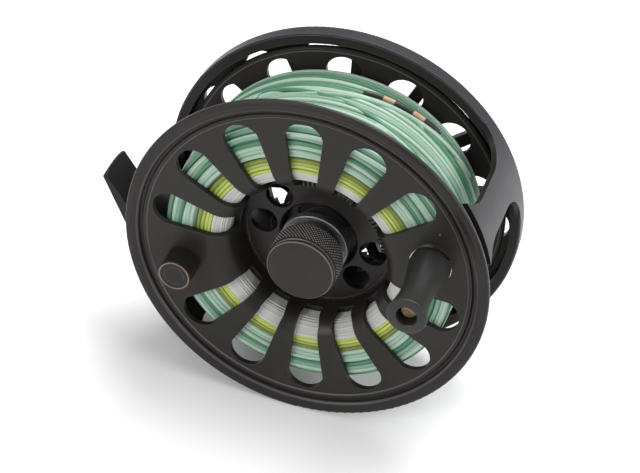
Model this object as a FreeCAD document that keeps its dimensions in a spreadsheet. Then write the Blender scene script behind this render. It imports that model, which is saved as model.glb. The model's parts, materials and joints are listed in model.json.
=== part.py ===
"""Open-cage fly reel with a ported large-arbor spool, a disc drag and a screwed foot.

Every piece is drawn around the spool's axis, with local +Z pointing out of the reel's front face, and
then stood up by one Placement, so that the reel rests on its two rims with its axis along Y.
"""
import FreeCAD
import Part
import math
import os
import Sketcher
from FreeCAD import Placement, Rotation, Vector

# ---------------------------------------------------------------- driving dimensions, mm and degrees
DRIVING = [
    ("axis_x", 6.162), ("axis_y", -14.05), ("axis_height", 52.0),
    ("rim_radius", 52.0), ("lip_thickness", 1.15), ("step_radius", 49.6), ("step_depth", 3.8),
    ("web_front", 1.5), ("web_thickness", 1.6), ("bead_inner", 48.2),
    ("shoulder_radius", 28.5), ("arbor_inner", 21.8), ("arbor_outer", 23.4),
    ("hub_front", 13.5), ("hub_thickness", 1.8), ("recess_radius", 10.9), ("floor_front", 18.5),
    ("rear_flange_front", 35.9), ("rear_flange_thickness", 1.5), ("rear_flange_radius", 47.2),
    ("index_angle", 94.0), ("slot_outer_centre", 39.6), ("slot_outer_radius", 5.28),
    ("slot_inner_centre", 24.0), ("slot_inner_radius", 3.4), ("slot_depth", 10.0),
    ("wall_inner", 49.1), ("pillar_inner", 50.4), ("frame_front", 4.1), ("rim_front", 34.6), ("rim_back", 38.1),
    ("plate_front", 38.5), ("plate_back", 40.6), ("pillar_half_width", 5.7), ("pillar_angle", 25.7),
    ("foot_pillar_half_width", 20.0), ("foot_angle", 205.7),
    ("foot_length", 60.4), ("foot_width", 13.0), ("foot_depth", 20.0), ("foot_reach", 57.2),
    ("shaft_radius", 3.0), ("spool_bore", 3.3), ("knob_radius", 9.9), ("knob_face", -2.6),
    ("handle_radius", 36.4), ("handle_length", 23.4), ("backing_radius", 28.0),
    ("running_radius", 32.5), ("line_radius", 41.3), ("housing_radius", 13.5), ("drag_knob_back", 50.0),
]
RUN = 0.3                 # free gap between bodies that move past each other
FIT = 0.05                # radial running fit of a pin in its hole
POSITIONS = 14            # slot positions round each flange
STEP = 360.0 / POSITIONS
OPEN_FRONT = 6            # slots on each side, between the handle's place and the counterweight's

doc = FreeCAD.newDocument("fly_reel")
sheet = doc.addObject("Spreadsheet::Sheet", "dims")
for row, (alias, value) in enumerate(DRIVING, start=1):
    sheet.set("A%d" % row, alias)
    sheet.set("B%d" % row, str(value))
    sheet.setAlias("B%d" % row, alias)
doc.recompute()


class Size:
    """A number together with the sheet expression that gives it."""

    def __init__(self, value, text):
        self.value = float(value)
        self.text = text

    def __add__(self, other):
        other = size(other)
        return Size(self.value + other.value, "(%s + %s)" % (self.text, other.text))

    def __sub__(self, other):
        other = size(other)
        return Size(self.value - other.value, "(%s - %s)" % (self.text, other.text))

    def __mul__(self, factor):
        return Size(self.value * factor, "(%s * %r)" % (self.text, factor))

    def __neg__(self):
        return self * -1.0


def size(value):
    """Any number or Size as a Size."""
    return value if isinstance(value, Size) else Size(value, "%r" % float(value))


DIMS = {alias: Size(value, "dims.%s" % alias) for alias, value in DRIVING}


def dim(alias):
    """The driving dimension of that name."""
    return DIMS[alias]


# ---------------------------------------------------------------- building blocks
pieces = []


def stand(piece):
    """Turn a finished piece upright and move it to the reel's place, and list it for the export."""
    piece.Placement = Placement(Vector(0, 0, 0), Rotation(Vector(1, 0, 0), 90))
    for letter, alias in (("x", "axis_x"), ("y", "axis_y"), ("z", "axis_height")):
        piece.setExpression("Placement.Base.%s" % letter, "dims.%s" % alias)
    pieces.append(piece)
    return piece


def new_body(label):
    body = doc.addObject("PartDesign::Body", label)
    body.Label = label
    return body


def origin_plane(body, role):
    return next(item for item in body.Origin.OriginFeatures if item.Role == role)


def sketch_on(body, role, depth=0):
    """A sketch on one of the body's planes; on XY it lies at the given depth behind the front rim."""
    sketch = body.newObject("Sketcher::SketchObject", body.Name + "_sketch")
    sketch.AttachmentSupport = [(origin_plane(body, role), "")]
    sketch.MapMode = "FlatFace"
    if role == "XY_Plane":
        sketch.AttachmentOffset = Placement(Vector(0, 0, -size(depth).value), Rotation())
        sketch.setExpression("AttachmentOffset.Base.z", "-(%s)" % size(depth).text)
    return sketch


def pin_point(sketch, edge, end, across, up):
    """Hold one end of an edge at (across, up) from the sketch's origin, bound to the sheet."""
    for kind, target, line in (("DistanceX", across, -2), ("DistanceY", up, -1)):
        target = size(target)
        if abs(target.value) < 1e-9:
            sketch.addConstraint(Sketcher.Constraint("PointOnObject", edge, end, line))
            continue
        index = sketch.addConstraint(Sketcher.Constraint(kind, -1, 1, edge, end, target.value))
        sketch.setExpression("Constraints[%d]" % index, target.text)


def outline(sketch, corners):
    """A closed outline: each corner is (across, up), or (across, up, via) when an arc leads to it."""
    count = len(corners)
    ends = []
    for index in range(count):
        start = corners[index]
        end = corners[(index + 1) % count]
        first = Vector(size(start[0]).value, size(start[1]).value, 0)
        last = Vector(size(end[0]).value, size(end[1]).value, 0)
        ends.append((1, 2))
        if len(end) == 3:
            via = Vector(size(end[2][0]).value, size(end[2][1]).value, 0)
            if (via - first).cross(last - via).z < 0:
                first, last = last, first
                ends[index] = (2, 1)
            sketch.addGeometry(Part.Arc(first, via, last), False)
        else:
            sketch.addGeometry(Part.LineSegment(first, last), False)
    for index in range(count):
        following = (index + 1) % count
        sketch.addConstraint(Sketcher.Constraint("Coincident", index, ends[index][1],
                                                 following, ends[following][0]))
    for index in range(count):
        pin_point(sketch, index, ends[index][0], corners[index][0], corners[index][1])


def turn(body, profile):
    """Turn a closed profile of (radius, depth) corners all round the axis."""
    sketch = sketch_on(body, "XZ_Plane")
    outline(sketch, [(corner[0], -size(corner[1])) if len(corner) == 2 else
                     (corner[0], -size(corner[1]), (corner[2][0], -size(corner[2][1])))
                     for corner in profile])
    feature = body.newObject("PartDesign::Revolution", body.Name + "_turned")
    feature.Profile = sketch
    feature.ReferenceAxis = (sketch, ["V_Axis"])
    feature.Angle = 360
    doc.recompute()
    return feature


def turned(label, profile):
    body = new_body(label)
    turn(body, profile)
    return stand(body)


def ring(label, inner, outer, front, back):
    """A plain turned ring between two depths; an inner radius of 0 makes it a disc."""
    return turned(label, [(inner, front), (outer, front), (outer, back), (inner, back)])


def polar(angle, radius):
    return Vector(radius * math.cos(math.radians(angle)), radius * math.sin(math.radians(angle)), 0)


def circles(sketch, centres, radius):
    """Equal circles; their centres are (angle, distance) pairs bound to the sheet."""
    for angle, distance in centres:
        distance = size(distance)
        centre = polar(angle, distance.value)
        edge = sketch.addGeometry(Part.Circle(centre, Vector(0, 0, 1), size(radius).value), False)
        index = sketch.addConstraint(Sketcher.Constraint("Radius", edge, size(radius).value))
        sketch.setExpression("Constraints[%d]" % index, size(radius).text)
        pin_point(sketch, edge, 3, distance * math.cos(math.radians(angle)),
                  distance * math.sin(math.radians(angle)))


def tapered_slot(sketch, angle):
    """A slot with a large round outer end and a small round inner end, joined by tangent lines."""
    far, big = dim("slot_outer_centre").value, dim("slot_outer_radius").value
    near, small = dim("slot_inner_centre").value, dim("slot_inner_radius").value
    lean = math.degrees(math.acos((big - small) / (far - near)))
    turn_to = Rotation(Vector(0, 0, 1), angle)

    def on_circle(centre, radius, at):
        return turn_to.multVec(Vector(centre, 0, 0) + polar(at, radius))

    top = (on_circle(far, big, lean), on_circle(near, small, lean))
    low = (on_circle(far, big, -lean), on_circle(near, small, -lean))
    sketch.addGeometry(Part.Arc(low[0], on_circle(far, big, 0), top[0]), False)
    sketch.addGeometry(Part.LineSegment(top[0], top[1]), False)
    sketch.addGeometry(Part.Arc(top[1], on_circle(near, small, 180), low[1]), False)
    sketch.addGeometry(Part.LineSegment(low[1], low[0]), False)
    for edge in range(4):
        sketch.addConstraint(Sketcher.Constraint("Block", edge))


def cut(body, sketch, depth):
    """Pocket a sketch backwards, away from the front face, and make sure it removed something."""
    before = body.Shape.Volume
    feature = body.newObject("PartDesign::Pocket", body.Name + "_cut")
    feature.Profile = sketch
    feature.Length = size(depth).value
    feature.setExpression("Length", size(depth).text)
    doc.recompute()
    if body.Shape.Volume >= before - 1e-6:
        raise RuntimeError("%s: the pocket cut nothing" % body.Label)
    return feature


def repeat(body, feature, sketch, count, angle=360.0):
    """Repeat a feature round the axis."""
    pattern = body.newObject("PartDesign::PolarPattern", body.Name + "_pattern")
    pattern.Originals = [feature]
    pattern.Axis = (sketch, ["N_Axis"])
    pattern.Angle = angle
    pattern.Occurrences = count
    body.Tip = pattern
    doc.recompute()
    return pattern


def drill(body, centres, radius, front, depth):
    """Round holes at (angle, distance) centres."""
    sketch = sketch_on(body, "XY_Plane", front)
    circles(sketch, centres, radius)
    return cut(body, sketch, depth)


def group(label, solids):
    """Identical loose solids as one piece."""
    holder = doc.addObject("Part::Feature", label)
    holder.Label = label
    holder.Shape = Part.makeCompound(solids)
    return stand(holder)


def thirds(distance, start=0.0):
    return [(start + 120.0 * index, distance) for index in range(3)]


# ---------------------------------------------------------------- spool
def make_spool():
    """One turned spool: lipped front flange, rounded shoulder, hub plate, bowl, arbor, rear flange."""
    body = new_body("spool")
    web_back = dim("web_front") + dim("web_thickness")
    shoulder = dim("shoulder_radius")
    bend = shoulder - dim("arbor_inner")
    bend_out = shoulder - dim("arbor_outer")
    turn_depth = dim("web_front") + bend
    diagonal = math.sqrt(0.5)
    rear_front = dim("rear_flange_front")
    rear_back = rear_front + dim("rear_flange_thickness")
    hub_back = dim("hub_front") + dim("hub_thickness")
    bowl = dim("recess_radius")
    floor = dim("floor_front")
    lip = dim("rim_radius")
    bead = dim("bead_inner")
    turn(body, [
        (dim("spool_bore"), floor), (bowl - 0.6, floor), (bowl, floor - 0.6), (bowl, dim("hub_front") + 0.5),
        (bowl + 0.5, dim("hub_front")), (dim("arbor_inner"), dim("hub_front")),
        (dim("arbor_inner"), turn_depth),
        (shoulder, dim("web_front"), (shoulder - bend * diagonal, turn_depth - bend * diagonal)),
        (bead - 2.2, dim("web_front")), (bead - 1.9, dim("web_front") - 0.35),
        (bead - 1.2, dim("web_front") - 0.35), (bead - 0.7, dim("web_front") + 0.3),
        (bead, dim("web_front") + 0.3), (bead + 1.4, 0.2, (bead + 0.35, 0.65)),
        (bead + 2.2, 0.0), (lip - 0.8, 0.05),
        (lip, 0.75, (lip - 0.2, 0.28)), (lip, dim("lip_thickness")),
        (dim("step_radius"), dim("lip_thickness")), (dim("step_radius"), dim("step_depth")),
        (bead - 0.6, dim("step_depth")), (bead - 1.3, web_back),
        (shoulder, web_back),
        (dim("arbor_outer"), turn_depth, (shoulder - bend_out * diagonal, turn_depth - bend_out * diagonal)),
        (dim("arbor_outer"), rear_front), (dim("rear_flange_radius") - 0.5, rear_front),
        (dim("rear_flange_radius"), rear_front + 0.5), (dim("rear_flange_radius"), rear_back),
        (dim("arbor_inner"), rear_back), (dim("arbor_inner"), hub_back),
        (bowl + 1.2, hub_back), (bowl + 1.2, floor + 1.8), (dim("spool_bore"), floor + 1.8)])
    first = dim("index_angle").value - 2 * STEP
    for side in (0.0, 180.0):
        sketch = sketch_on(body, "XY_Plane")
        tapered_slot(sketch, first + side)
        pocket = cut(body, sketch, dim("slot_depth"))
        repeat(body, pocket, sketch, OPEN_FRONT, STEP * (OPEN_FRONT - 1))
    sketch = sketch_on(body, "XY_Plane", rear_front - 0.2)
    tapered_slot(sketch, dim("index_angle").value)
    pocket = cut(body, sketch, 2.5)
    repeat(body, pocket, sketch, POSITIONS)
    across = 157.3
    drill(body, [(across + side + lean, 16.0) for side in (0, 180) for lean in (-19.2, 19.2)],
          4.0, dim("hub_front") - 0.5, 3.0)
    drill(body, thirds(7.2, 30.0), 1.2 + RUN, floor - 0.2, 2.5)
    drill(body, [(16.86, dim("handle_radius"))], 1.8, 0.5, 4.0)
    drill(body, [(196.86, dim("handle_radius"))], 1.5, 0.5, 4.0)
    ports = sketch_on(body, "XZ_Plane")
    ports.addGeometry(Part.Circle(Vector(0, -30.5, 0), Vector(0, 0, 1), 3.2), False)
    ports.addConstraint(Sketcher.Constraint("Block", 0))
    before = body.Shape.Volume
    through = body.newObject("PartDesign::Pocket", "spool_ports")
    through.Profile = ports
    through.Length = 120.0
    through.SideType = "Symmetric"
    doc.recompute()
    if body.Shape.Volume >= before:
        raise RuntimeError("spool: no ports were cut")
    axis_sketch = sketch_on(body, "XY_Plane")
    axis_sketch.addGeometry(Part.Point(Vector(0, 0, 0)), True)
    repeat(body, through, axis_sketch, POSITIONS // 2, 180.0 - 180.0 / (POSITIONS // 2))
    return stand(body)


def make_windings():
    """Three turns-on-turns rings of line; their front faces follow the flange's rounded shoulder."""
    gap = 0.05
    shoulder = dim("shoulder_radius")
    web_back = dim("web_front") + dim("web_thickness") + gap
    turn_depth = dim("web_front") + (shoulder - dim("arbor_inner"))
    bend = (shoulder - dim("arbor_outer")) - gap
    back = dim("rear_flange_front") - gap

    def on_shoulder(radius):
        offset = shoulder.value - size(radius).value
        return turn_depth - math.sqrt(bend.value ** 2 - offset ** 2)

    inner = dim("arbor_outer") + gap
    mid = dim("backing_radius").value
    between = 0.5 * (inner.value + mid)
    turned("backing_winding", [
        (inner, turn_depth), (dim("backing_radius"), on_shoulder(mid), (between, on_shoulder(between))),
        (dim("backing_radius"), back), (inner, back)])
    mid = 0.5 * (mid + shoulder.value)
    turned("running_line_winding", [
        (dim("backing_radius"), on_shoulder(dim("backing_radius"))),
        (shoulder, web_back, (mid, on_shoulder(mid))), (dim("running_radius"), web_back),
        (dim("running_radius"), back), (dim("backing_radius"), back)])
    edge = dim("line_radius") - 1.2
    turned("head_line_winding", [
        (dim("running_radius"), web_back), (edge, web_back),
        (dim("line_radius"), web_back + 3.0, (dim("line_radius") - 0.3, web_back + 1.2)),
        (dim("line_radius"), back - 3.0),
        (edge, back, (dim("line_radius") - 0.3, back - 1.2)), (dim("running_radius"), back)])


def make_handle():
    """Counterweight, and the crank handle: post, base washer, hourglass grip and end screw."""
    face = dim("web_front")
    tip = face - dim("handle_length")
    floor = tip + 4.0
    seat = floor - RUN
    post = turned("handle_post", [
        (0, seat), (1.8, seat), (1.8, face - 0.8), (2.6, face - 0.8), (2.6, face), (1.8, face),
        (1.8, face + 1.6), (0, face + 1.6)])
    drill(post, [(0, 0)], 1.0, seat - 0.5, 8.0)
    washer = ring("handle_washer", 2.6, 5.9, face - 0.6, face)
    root = face - 0.6 - 0.2
    grip = turned("handle_grip", [
        (1.8 + FIT, floor), (1.8 + FIT, root - 0.2), (2.9, root - 0.2), (2.9, root), (5.6, root),
        (5.98, root - 0.5, (5.87, root - 0.15)), (5.7, root - 2.4, (5.93, root - 1.4)),
        (4.5, root - 10.5, (4.85, root - 6.4)),
        (5.5, tip + 1.2, (4.75, tip + 6.2)), (5.1, tip, (5.45, tip + 0.35)), (2.8, tip),
        (2.8, floor)])
    screw = turned("handle_screw", [(0, seat - 1.2), (2.0, seat - 1.2), (2.4, seat - 0.8), (2.4, seat),
                                    (1.0, seat), (1.0, seat + 6.0), (0, seat + 6.0)])
    end = face - 7.4
    weight = turned("counterweight", [
        (1.5, face - 1.2), (2.8, face - 1.2), (2.8, end + 0.15), (4.1, end + 0.15), (4.1, end),
        (4.5, end), (4.7, end + 0.2), (4.7, face), (1.5, face)])
    weight_screw = turned("counterweight_screw", [
        (0, end + 0.15), (2.8, end + 0.15), (2.8, face - 1.2), (1.5, face - 1.2),
        (1.5, face + 1.6), (0, face + 1.6)])
    for piece, angle in ((post, 16.86), (washer, 16.86), (grip, 16.86), (screw, 16.86),
                         (weight, 196.86), (weight_screw, 196.86)):
        piece.setExpression("Placement.Base.x", "dims.axis_x + dims.handle_radius * %r"
                            % math.cos(math.radians(angle)))
        piece.setExpression("Placement.Base.z", "dims.axis_height + dims.handle_radius * %r"
                            % math.sin(math.radians(angle)))


# ---------------------------------------------------------------- release knob
def make_release_knob():
    """The knurled knob at the centre, and the sleeve with its bright ring that the knob draws up."""
    outer = dim("knob_radius")
    top = dim("knob_face")
    turned("knob_sleeve", [
        (4.9, 9.6), (8.9, 9.6), (9.1, 9.1), (9.5, 9.1), (9.75, 9.4), (9.75, 11.3), (9.4, 11.7),
        (7.4, 12.6, (8.0, 11.9)), (7.0, 14.0), (7.0, 18.2), (4.9, 18.2)])
    turned("release_knob", [
        (0, top), (outer - 0.75, top), (outer - 0.25, top + 0.5), (outer - 0.25, top + 0.9),
        (outer - 0.8, top + 1.1), (outer - 0.8, top + 1.6), (outer, top + 1.8), (outer, 5.9),
        (outer - 0.5, 6.5), (outer - 1.6, 7.4), (outer - 2.0, 9.2), (4.8, 9.2), (4.8, 17.0),
        (dim("spool_bore"), 17.0), (dim("spool_bore"), 6.6), (0, 6.6)])


# ---------------------------------------------------------------- frame
def shell_prism(label, angle, half, flare, front_flare, inner_alias):
    """One pillar: an outline that flares at both ends, pushed outwards and trimmed to its wall.

    The outline's across direction runs round the reel and its up direction runs towards the front.
    """
    sketch = doc.addObject("Sketcher::SketchObject", label + "_outline")
    front = -dim("frame_front")
    rear = -dim("rim_front")
    foot = rear - 1.0
    bow = 1.0 - math.sqrt(0.5)
    side = [
        (half + front_flare, front),
        (half, front - 9.0, (half + front_flare * 0.22, front - 4.2)),
        (half, rear + flare),
        (half + flare, rear, (half + flare * bow, rear + flare * bow)),
        (half + flare, foot)]
    mirrored = [(-size(side[4][0]), side[4][1]), (-size(side[3][0]), side[3][1]),
                (-size(half), side[2][1], (-size(side[3][2][0]), side[3][2][1])),
                (-size(half), side[1][1]),
                (-size(side[0][0]), front, (-size(side[1][2][0]), side[1][2][1]))]
    outline(sketch, side + mirrored)
    push = doc.addObject("Part::Extrusion", label + "_push")
    push.Base = sketch
    push.DirMode = "Custom"
    push.Dir = Vector(0, 0, 1)
    push.LengthFwd = 70.0
    push.Solid = True
    # the sketch's across axis turns with the tangent and its up axis is the reel's local Z
    outwards = polar(angle, 1.0)
    along = polar(angle + 90.0, 1.0)
    sketch.Placement = Placement(FreeCAD.Matrix(
        along.x, 0, outwards.x, 0,
        along.y, 0, outwards.y, 0,
        along.z, 1, outwards.z, 0,
        0, 0, 0, 1))
    push.Dir = outwards
    outer = doc.addObject("Part::Cylinder", label + "_outer")
    inner = doc.addObject("Part::Cylinder", label + "_inner")
    for cylinder, alias in ((outer, "rim_radius"), (inner, inner_alias)):
        cylinder.Placement = Placement(Vector(0, 0, -45), Rotation())
        cylinder.Height = 50.0
        cylinder.setExpression("Radius", "dims.%s" % alias)
    wall = doc.addObject("Part::Cut", label + "_wall")
    wall.Base = outer
    wall.Tool = inner
    pillar = doc.addObject("Part::Common", label)
    pillar.Base = wall
    pillar.Tool = push
    return pillar


def make_frame():
    """The frame: ported back plate, rear rim, one narrow pillar and the broad one under the foot."""
    plate = new_body("frame_plate")
    bore = 5.0
    turn(plate, [
        (bore, dim("plate_front")), (dim("wall_inner") - 0.4, dim("plate_front")),
        (dim("wall_inner"), dim("plate_front") - 0.4), (dim("wall_inner"), dim("rim_front")),
        (dim("rim_radius") - 0.4, dim("rim_front")), (dim("rim_radius"), dim("rim_front") + 0.4),
        (dim("rim_radius"), dim("rim_back")),
        (dim("rim_radius") - 1.8, dim("plate_back"), (dim("rim_radius") - 0.5, dim("plate_back") - 0.8)),
        (bore, dim("plate_back"))])
    sketch = sketch_on(plate, "XY_Plane", dim("plate_front") - 0.5)
    plate_opening(sketch, dim("pillar_angle").value)
    pocket = cut(plate, sketch, 4.0)
    repeat(plate, pocket, sketch, POSITIONS)
    drill(plate, thirds(8.2, 60.0), 1.0 + FIT, dim("plate_front") - 0.5, 4.0)
    drill(plate, thirds(11.2, 0.0), 0.9, dim("plate_front") - 0.5, 4.0)
    narrow = shell_prism("narrow_pillar", dim("pillar_angle").value, dim("pillar_half_width"),
                         10.0, 4.2, "pillar_inner")
    broad = shell_prism("foot_pillar", dim("foot_angle").value, dim("foot_pillar_half_width"),
                        6.0, 2.5, "wall_inner")
    fused = doc.addObject("Part::MultiFuse", "frame_fused")
    fused.Shapes = [plate, narrow, broad]
    frame = doc.addObject("Part::Cut", "frame")
    frame.Label = "frame"
    frame.Base = fused
    frame.Tool = foot_screw_shapes("foot_screw_holes")
    stand(frame)


def plate_opening(sketch, angle):
    """One back-plate opening: a wide rounded window that narrows to a round inner end."""
    far, near = 46.6, 20.5
    apex = 48.1
    rib = 1.75
    corner = 4.5
    half = math.radians(STEP / 2)
    turn_to = Rotation(Vector(0, 0, 1), angle)
    sin_half, cos_half = math.sin(half), math.cos(half)

    def edge_point(radius):
        """Where the rib's straight side crosses that radius, on the upper side."""
        along = math.sqrt(radius ** 2 - rib ** 2)
        return Vector(along * cos_half + rib * sin_half, along * sin_half - rib * cos_half, 0)

    start = edge_point(near)
    finish = edge_point(far - corner)
    reach = math.atan2(finish.y, finish.x) - corner / far
    crown = Vector(far * math.cos(reach), far * math.sin(reach), 0)
    middle = (finish + crown) * 0.5
    outward = Vector(middle.x, middle.y, 0).normalize()
    bulge = middle + (outward + Vector(0, 1, 0)) * 0.9

    def low(point):
        return Vector(point.x, -point.y, 0)

    place = turn_to.multVec
    waist = Vector(start.x - start.y * 0.55, 0, 0)
    sketch.addGeometry(Part.Arc(place(low(start)), place(waist), place(start)), False)
    sketch.addGeometry(Part.LineSegment(place(start), place(finish)), False)
    sketch.addGeometry(Part.Arc(place(finish), place(bulge), place(crown)), False)
    sketch.addGeometry(Part.Arc(place(crown), place(Vector(apex, 0, 0)), place(low(crown))), False)
    sketch.addGeometry(Part.Arc(place(low(crown)), place(low(bulge)), place(low(finish))), False)
    sketch.addGeometry(Part.LineSegment(place(low(finish)), place(low(start))), False)
    for edge in range(6):
        sketch.addConstraint(Sketcher.Constraint("Block", edge))


# ---------------------------------------------------------------- foot
def foot_frame():
    """Outward, tangent and forward directions at the foot, as a turn from the local axes."""
    angle = dim("foot_angle").value
    return polar(angle, 1.0), polar(angle + 90.0, 1.0)


def foot_point(outwards, around, depth):
    out, along = foot_frame()
    return out * outwards + along * around + Vector(0, 0, -depth)


def foot_screw_shapes(label):
    """Two countersunk screws through the broad pillar into the foot."""
    out, along = foot_frame()
    shapes = []
    for around in (-7.0, 7.0):
        head = Part.makeCone(3.0, 1.4, 1.6, foot_point(48.4, around, dim("foot_depth").value), out)
        shank = Part.makeCylinder(1.4, 6.0, foot_point(49.9, around, dim("foot_depth").value), out)
        shapes.append(head.fuse(shank))
    holder = doc.addObject("Part::Feature", label)
    holder.Shape = Part.makeCompound(shapes)
    return holder


def make_foot():
    """The reel foot: a bar with rounded, thinned ends and a saddle-shaped back, on a block that fits
    the frame's wall."""
    length, width = dim("foot_length").value, dim("foot_width").value
    reach, depth = dim("foot_reach").value, dim("foot_depth").value
    half = length / 2
    end_thickness, block, crown = 1.1, 13.0, 4.3
    side = [(reach, -half), (reach, half), (reach - end_thickness, half), (reach - crown, block),
            (reach - 7.5, block - 1.5), (reach - 7.5, 1.5 - block), (reach - crown, -block),
            (reach - end_thickness, -half)]
    wire = Part.makePolygon([foot_point(out, across, depth - width / 2) for out, across in side + side[:1]])
    bar = Part.Face(wire).extrude(Vector(0, 0, -width))
    bow = 0.7
    corner = half - bow
    fore, aft = depth - width / 2, depth + width / 2
    plan = [Part.LineSegment(foot_point(40, corner, fore), foot_point(40, -corner, fore)),
            Part.Arc(foot_point(40, -corner, fore), foot_point(40, -half, depth), foot_point(40, -corner, aft)),
            Part.LineSegment(foot_point(40, -corner, aft), foot_point(40, corner, aft)),
            Part.Arc(foot_point(40, corner, aft), foot_point(40, half, depth), foot_point(40, corner, fore))]
    out, along = foot_frame()
    tongue = Part.Face(Part.Wire([edge.toShape() for edge in plan])).extrude(out * 25)
    saddle_radius = 42.0
    saddle = Part.makeCylinder(saddle_radius, 2 * length,
                               foot_point(reach + saddle_radius - 0.5, -length, depth), along)
    seat = Part.makeCylinder(dim("rim_radius").value, 60, Vector(0, 0, -50), Vector(0, 0, 1))
    screws = doc.getObject("foot_screw_holes").Shape
    foot = doc.addObject("Part::Feature", "reel_foot")
    foot.Label = "reel_foot"
    foot.Shape = bar.common(tongue).cut(saddle).cut(seat).cut(screws).removeSplitter()
    stand(foot)
    group("foot_screws", [solid.copy() for solid in screws.Solids])


# ---------------------------------------------------------------- spindle, bearings and drag
def make_spindle():
    turned("spindle", [(0, 7.0), (2.4, 7.0), (3.0, 7.6), (dim("shaft_radius"), 37.2), (6.5, 37.2),
                       (6.5, dim("plate_front")), (5.0, dim("plate_front")), (5.0, dim("plate_back")),
                       (2.5, dim("plate_back")), (2.5, 48.6), (0, 48.6)])


def make_bearings():
    """Two small ball bearings, near the front and the back of the drag hub."""
    fronts = (22.4, 28.4)
    width, count, ball = 2.6, 8, 0.33
    inner, outer, balls = [], [], []
    for front in fronts:
        base = Vector(0, 0, -front - width)
        inner.append(Part.makeCylinder(3.7, width, base).cut(Part.makeCylinder(3.0, width, base)))
        outer.append(Part.makeCylinder(5.0, width, base).cut(Part.makeCylinder(4.4, width, base)))
        for index in range(count):
            centre = polar(360.0 * index / count, 4.05) + Vector(0, 0, -front - width / 2)
            balls.append(Part.makeSphere(ball, centre))
    group("bearing_inner_rings", inner)
    group("bearing_outer_rings", outer)
    group("bearing_balls", balls)


def make_drag():
    """The drag: hub with drive pins, click wheel, clutch, discs, springs, pressure plate, housing."""
    hub_front = dim("floor_front") + 1.8 + RUN
    turned("drag_hub", [
        (5.0, 22.4), (5.0, 31.4), (6.6, 31.4), (6.6, 22.0), (9.5, 22.0), (9.5, hub_front),
        (3.6, hub_front), (3.6, 22.4)])
    group("drive_pins", [Part.makeCylinder(1.2, 1.9, polar(30.0 + 120.0 * index, 7.2)
                                           + Vector(0, 0, -hub_front.value)) for index in range(3)])
    wheel = ring("click_wheel", 6.6, 9.2, 24.6, 26.0)
    notch = sketch_on(wheel, "XY_Plane", 24.4)
    circles(notch, [(0, 9.6)], 0.75)
    pocket = cut(wheel, notch, 2.0)
    repeat(wheel, pocket, notch, 24)
    ring("one_way_clutch", 6.6, 8.8, 26.3, 28.2)
    ring("brake_rotor", 6.6, 11.8, 29.3, 30.1)
    group("friction_discs", [disc(8.6, 12.0, front, 0.7) for front in (28.5, 30.2)])
    group("spring_washers", [coned_ring(7.4, 11.2, inner_front, outer_front, 0.35)
                             for inner_front, outer_front in ((31.6, 31.0), (32.2, 31.7))])
    ring("pressure_plate", 3.6, 11.8, 33.4, 34.6)
    group("push_pins", [Part.makeCylinder(1.0, 6.4, polar(60.0 + 120.0 * index, 8.2)
                                          + Vector(0, 0, -41.0)) for index in range(3)])
    outer = dim("housing_radius")
    housing = turned("drag_housing", [
        (12.3, 23.8), (12.3, 37.0), (6.5, 37.0), (6.5, dim("plate_front")), (outer, dim("plate_front")),
        (outer, 23.8)])
    drill(housing, thirds(8.2, 60.0), 1.0 + FIT, 36.8, 3.0)
    drill(housing, thirds(11.2, 0.0), 0.9, 36.8, 3.0)
    ring("housing_cover", 7.0, outer, 22.9, 23.8)
    group("housing_screws", [screw_shape(11.2, 120.0 * index) for index in range(3)])


def disc(inner, outer, front, thickness):
    base = Vector(0, 0, -front - thickness)
    return Part.makeCylinder(outer, thickness, base).cut(Part.makeCylinder(inner, thickness, base))


def coned_ring(inner, outer, inner_front, outer_front, thickness):
    """A spring washer: a thin ring whose inner and outer edges lie at different depths."""
    corners = [Vector(inner, 0, -inner_front), Vector(outer, 0, -outer_front),
               Vector(outer, 0, -outer_front - thickness), Vector(inner, 0, -inner_front - thickness)]
    face = Part.Face(Part.makePolygon(corners + corners[:1]))
    return face.revolve(Vector(0, 0, 0), Vector(0, 0, 1), 360)


def screw_shape(distance, angle):
    """A screw that comes from the back plate's rear into the housing."""
    centre = polar(angle, distance)
    shank = Part.makeCylinder(0.9, 3.6, centre + Vector(0, 0, -40.6))
    head = Part.makeCylinder(1.6, 0.5, centre + Vector(0, 0, -41.1))
    return shank.fuse(head)


def make_click():
    """The click pawl, its pin and its spring, beside the click wheel."""
    pivot = polar(140.0, 10.7)
    base = Vector(0, 0, -26.0)
    pin = Part.makeCylinder(0.5, 2.2, pivot + base)
    group("pawl_pin", [pin])
    arm = Part.makeCylinder(1.1, 1.4, pivot + base)
    tip = polar(124.0, 9.75)
    side = (tip - pivot).cross(Vector(0, 0, 1)).normalize() * 0.75
    corners = [pivot + base + side, tip + base + side * 0.3, tip + base - side * 0.3, pivot + base - side]
    blade = Part.Face(Part.makePolygon(corners + corners[:1])).extrude(Vector(0, 0, 1.4))
    hole = Part.makeCylinder(0.5 + FIT, 1.4, pivot + base)
    group("click_pawl", [arm.fuse(blade).cut(hole).removeSplitter()])
    start = polar(172.0, 11.6)
    end = polar(152.0, 11.9)
    leaf = Part.makeBox((end - start).Length, 0.3, 1.2)
    leaf.Placement = Placement(start + base, Rotation(Vector(1, 0, 0), end - start))
    group("pawl_spring", [leaf])


def make_drag_knob():
    """The rear drag knob: a scalloped disc on the spindle's tail, held by a cap screw."""
    front = dim("plate_back") + 0.8
    back = dim("drag_knob_back")
    knob = turned("drag_knob", [
        (2.5 + FIT, front), (15.6, front), (16.4, front + 0.8), (16.4, back - 2.2),
        (14.8, back - 0.6, (15.9, back - 1.0)), (10.0, back), (4.6, back), (4.6, back - 1.4),
        (2.5 + FIT, back - 1.4)])
    sketch = sketch_on(knob, "XY_Plane", front - 0.5)
    circles(sketch, [(0, 18.4)], 3.2)
    pocket = cut(knob, sketch, 12.0)
    repeat(knob, pocket, sketch, 12)
    turned("drag_knob_screw", [(0, back - 1.35), (3.9, back - 1.35), (3.9, back - 0.5), (3.4, back - 0.2),
                               (0, back - 0.2)])


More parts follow.
